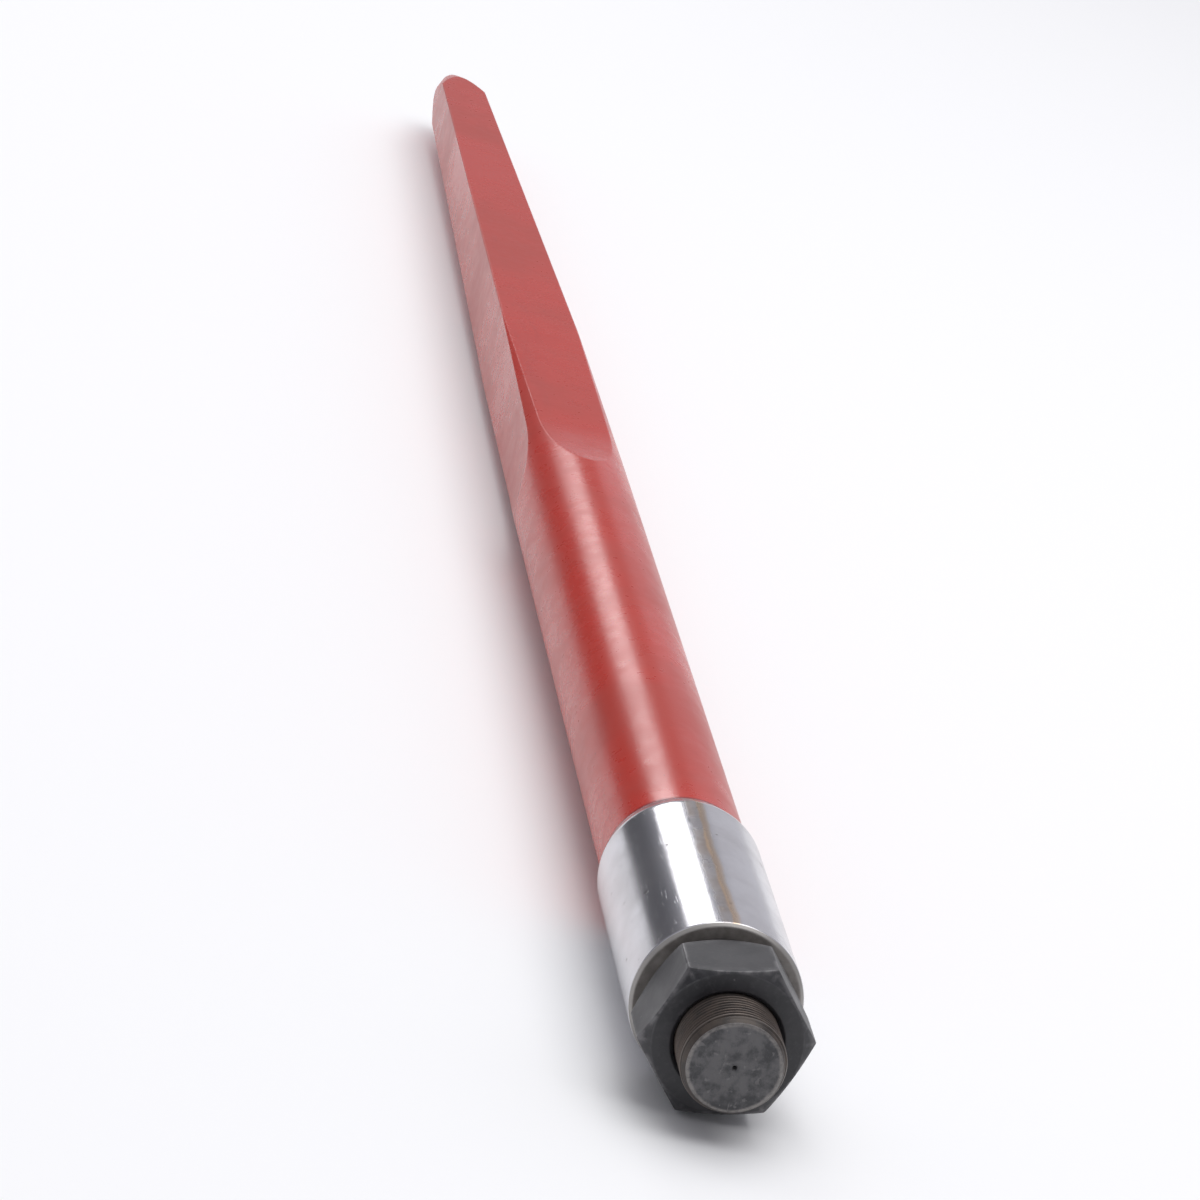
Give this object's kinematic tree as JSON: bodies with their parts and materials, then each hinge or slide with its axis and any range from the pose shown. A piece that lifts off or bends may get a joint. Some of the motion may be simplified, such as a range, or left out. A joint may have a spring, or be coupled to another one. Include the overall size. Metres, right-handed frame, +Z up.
{
  "type": "bale spear",
  "caption": "Straight loader tine: round bar with a four-flat taper, a conical blunt point, a machined seat and a threaded end with its hex nut.",
  "frame": {"origin": "on the bar's axis, half way along the machined seat", "axes": "+X along the bar from the thread to the tip; +Z up, square to one of the four forged flats; +Y to the left when looking along +X"},
  "size_m": [1.1, 0.0468, 0.047],
  "materials": {
    "red_paint": "semi-gloss red enamel over forged steel; seat, flare and thread are bare machined steel",
    "black_oxide": "satin black oxide on steel, edges worn lighter"
  },
  "bodies": {
    "root": {"spear": "red_paint", "hex_nut": "black_oxide"}
  },
  "joints": []
}
